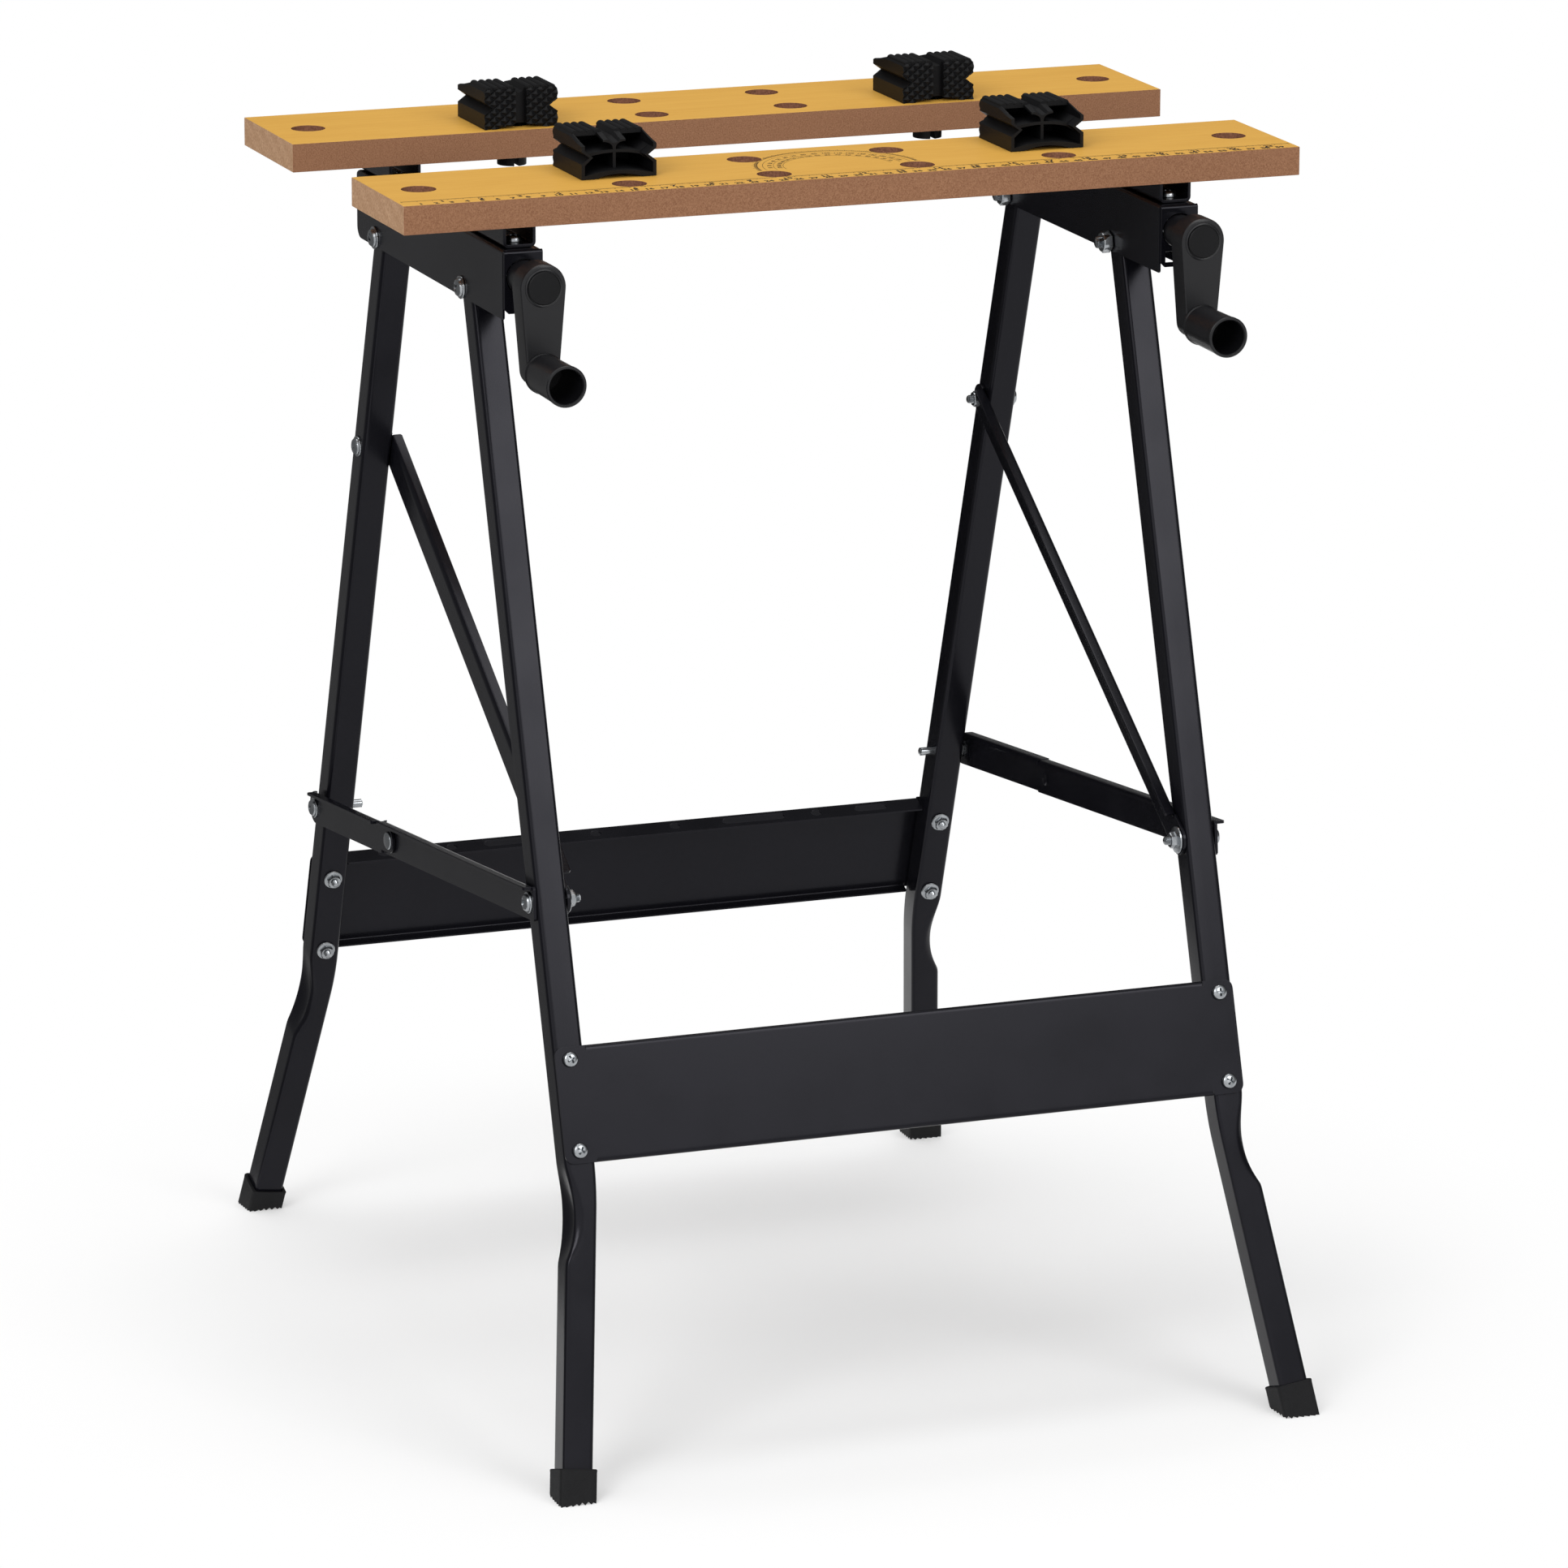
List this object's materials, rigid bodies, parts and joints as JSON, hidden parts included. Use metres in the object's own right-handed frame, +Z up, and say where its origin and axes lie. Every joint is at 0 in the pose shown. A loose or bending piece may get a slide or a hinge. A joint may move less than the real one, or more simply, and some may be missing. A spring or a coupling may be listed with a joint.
{
  "type": "folding workbench",
  "caption": "Folding workbench: clamping jaw boards with dog holes on steel rails, hand cranks that move the rear jaw, swivelling bench dogs and folding tube legs with tool trays.",
  "frame": {"origin": "on the floor under the middle of the bounding box", "axes": "+X along the boards to the right seen from the cranks, +Y from the front jaw to the rear jaw, +Z up"},
  "size_m": [0.605, 0.6808, 0.8278],
  "materials": {
    "jaw_board": "MDF with a printed wood-look film, satin",
    "black_paint": "gloss black powder coat",
    "black_plastic": "moulded, satin",
    "black_rubber": "moulded, matt",
    "zinc_plate": "bright zinc plate"
  },
  "bodies": {
    "top": {"front_jaw_board": "jaw_board", "top_rail_left": "black_paint", "top_rail_right": "black_paint", "jaw_carriage_front_left": "black_paint", "jaw_carriage_front_right": "black_paint", "carriage_screw_front_left": "zinc_plate", "carriage_screw_front_right": "zinc_plate", "pivot_bolt_front_left": "zinc_plate", "pivot_bolt_front_right": "zinc_plate", "pivot_bolt_rear_left": "zinc_plate", "pivot_bolt_rear_right": "zinc_plate"},
    "rear_jaw": {"rear_jaw_board": "jaw_board", "jaw_carriage_rear_left": "black_paint", "jaw_carriage_rear_right": "black_paint", "carriage_screw_rear_left": "zinc_plate", "carriage_screw_rear_right": "zinc_plate", "spindle_nut_left": "zinc_plate", "spindle_nut_right": "zinc_plate"},
    "rear_legs": {"rear_tool_tray": "black_paint", "leg_rear_left": "black_paint", "leg_rear_right": "black_paint", "foot_rear_left": "black_rubber", "foot_rear_right": "black_rubber", "tray_screw_rear_upper_left": "zinc_plate", "tray_screw_rear_upper_right": "zinc_plate", "tray_screw_rear_lower_left": "zinc_plate", "tray_screw_rear_lower_right": "zinc_plate", "strut_bolt_left": "zinc_plate", "strut_bolt_right": "zinc_plate", "brace_bolt_rear_left": "zinc_plate", "brace_bolt_rear_right": "zinc_plate"},
    "front_legs": {"front_tool_tray": "black_paint", "leg_front_left": "black_paint", "leg_front_right": "black_paint", "foot_front_left": "black_rubber", "foot_front_right": "black_rubber", "tray_screw_front_upper_left": "zinc_plate", "tray_screw_front_upper_right": "zinc_plate", "tray_screw_front_lower_left": "zinc_plate", "tray_screw_front_lower_right": "zinc_plate", "brace_bolt_front_left": "zinc_plate", "brace_bolt_front_right": "zinc_plate"},
    "crank_left": {"crank_left": "black_plastic", "crank_cap_left": "black_plastic", "spindle_left": "zinc_plate"},
    "strut_left": {"strut_left": "black_paint"},
    "brace_front_left": {"brace_link_front_left": "black_paint"},
    "brace_rear_left": {"brace_link_rear_left": "black_paint", "brace_rivet_left": "zinc_plate"},
    "dog_front_left": {"bench_dog_front_left": "black_plastic"},
    "dog_rear_left": {"bench_dog_rear_left": "black_plastic"},
    "crank_right": {"crank_right": "black_plastic", "crank_cap_right": "black_plastic", "spindle_right": "zinc_plate"},
    "strut_right": {"strut_right": "black_paint"},
    "brace_front_right": {"brace_link_front_right": "black_paint"},
    "brace_rear_right": {"brace_link_rear_right": "black_paint", "brace_rivet_right": "zinc_plate"},
    "dog_front_right": {"bench_dog_front_right": "black_plastic"},
    "dog_rear_right": {"bench_dog_rear_right": "black_plastic"}
  },
  "joints": [
    {"name": "rear_leg_fold", "type": "hinge", "parent": "top", "child": "rear_legs", "pos_m": [0, 0.0875, 0.728], "axis": [-1, 0, 0], "range_deg": [0, 60]},
    {"name": "front_leg_fold", "type": "hinge", "parent": "top", "child": "front_legs", "pos_m": [0, -0.0875, 0.728], "axis": [-1, 0, 0], "range_deg": [0, 39.43]},
    {"name": "strut_left_swing", "type": "hinge", "parent": "rear_legs", "child": "strut_left", "pos_m": [-0.2222, 0.13667, 0.5789], "axis": [1, 0, 0], "range_deg": [0, 40.04]},
    {"name": "brace_rear_left_swing", "type": "hinge", "parent": "rear_legs", "child": "brace_rear_left", "pos_m": [-0.2222, 0.22498, 0.31108], "axis": [-1, 0, 0], "range_deg": [0, 47.21]},
    {"name": "brace_front_left_swing", "type": "hinge", "parent": "front_legs", "child": "brace_front_left", "pos_m": [-0.2222, -0.20995, 0.35667], "axis": [1, 0, 0], "range_deg": [0, 51.4]},
    {"name": "strut_right_swing", "type": "hinge", "parent": "rear_legs", "child": "strut_right", "pos_m": [0.2222, 0.13667, 0.5789], "axis": [1, 0, 0], "range_deg": [0, 40.04]},
    {"name": "brace_rear_right_swing", "type": "hinge", "parent": "rear_legs", "child": "brace_rear_right", "pos_m": [0.2222, 0.22498, 0.31108], "axis": [-1, 0, 0], "range_deg": [0, 47.21]},
    {"name": "brace_front_right_swing", "type": "hinge", "parent": "front_legs", "child": "brace_front_right", "pos_m": [0.2222, -0.20995, 0.35667], "axis": [1, 0, 0], "range_deg": [0, 51.4]},
    {"name": "crank_left_turn", "type": "hinge", "parent": "top", "child": "crank_left", "pos_m": [-0.2222, -0.19, 0.749], "axis": [0, 1, 0], "range_deg": [-8640, 0]},
    {"name": "crank_right_turn", "type": "hinge", "parent": "top", "child": "crank_right", "pos_m": [0.2222, -0.19, 0.749], "axis": [0, 1, 0], "range_deg": [-8641, 0]},
    {"name": "rear_jaw_slide", "type": "slide", "parent": "top", "child": "rear_jaw", "axis": [0, 1, 0], "range_m": [-0.12, 0]},
    {"name": "dog_front_left_turn", "type": "hinge", "parent": "top", "child": "dog_front_left", "pos_m": [-0.1455, -0.0975, 0.8], "axis": [0, 0, 1], "continuous": true},
    {"name": "dog_rear_left_turn", "type": "hinge", "parent": "rear_jaw", "child": "dog_rear_left", "pos_m": [-0.1455, 0.0745, 0.8], "axis": [0, 0, 1], "continuous": true},
    {"name": "dog_front_right_turn", "type": "hinge", "parent": "top", "child": "dog_front_right", "pos_m": [0.1455, -0.0975, 0.8], "axis": [0, 0, 1], "continuous": true},
    {"name": "dog_rear_right_turn", "type": "hinge", "parent": "rear_jaw", "child": "dog_rear_right", "pos_m": [0.1455, 0.0745, 0.8], "axis": [0, 0, 1], "continuous": true}
  ],
  "couplings": [
    {"joint": "front_leg_fold", "follows": "rear_leg_fold", "ratio": 0.6563},
    {"joint": "crank_right_turn", "follows": "crank_left_turn", "ratio": 1},
    {"joint": "rear_jaw_slide", "follows": "crank_left_turn", "m_per_rad": 0.0007957},
    {"joint": "strut_left_swing", "follows": "rear_leg_fold", "ratio": 0.6665},
    {"joint": "brace_rear_left_swing", "follows": "rear_leg_fold", "ratio": 0.78597},
    {"joint": "brace_front_left_swing", "follows": "rear_leg_fold", "ratio": 0.85591},
    {"joint": "strut_right_swing", "follows": "rear_leg_fold", "ratio": 0.6665},
    {"joint": "brace_rear_right_swing", "follows": "rear_leg_fold", "ratio": 0.78597},
    {"joint": "brace_front_right_swing", "follows": "rear_leg_fold", "ratio": 0.85591}
  ]
}
